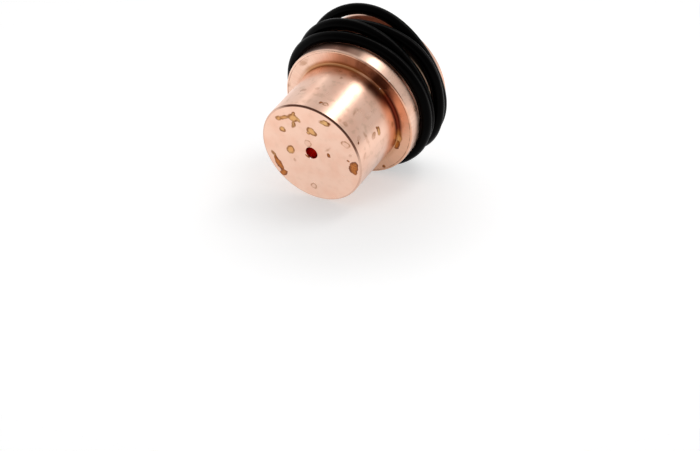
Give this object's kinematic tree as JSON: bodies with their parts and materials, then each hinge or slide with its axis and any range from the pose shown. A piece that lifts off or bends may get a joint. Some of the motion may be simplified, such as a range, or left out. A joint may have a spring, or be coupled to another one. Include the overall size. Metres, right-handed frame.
{
  "type": "plasma torch nozzle",
  "caption": "Turned copper plasma torch nozzle with a flat round nose, a centre orifice, a shoulder and a grooved rear seal seat carrying loose rubber O-rings.",
  "frame": {"origin": "centre of the flat nose face, where the orifice opens", "axes": "+Z along the nozzle's axis from the nose face to the rear; the nozzle stands on its nose face"},
  "size_m": [0.0253, 0.0261, 0.0226],
  "materials": {
    "copper": "fine turned copper, lightly stained",
    "ring_rubber": "smooth black rubber"
  },
  "bodies": {
    "root": {"nozzle_body": "copper", "o_ring_front": "ring_rubber", "o_ring_front_inner": "ring_rubber", "o_ring_rear_inner": "ring_rubber", "o_ring_rear": "ring_rubber"}
  },
  "joints": []
}
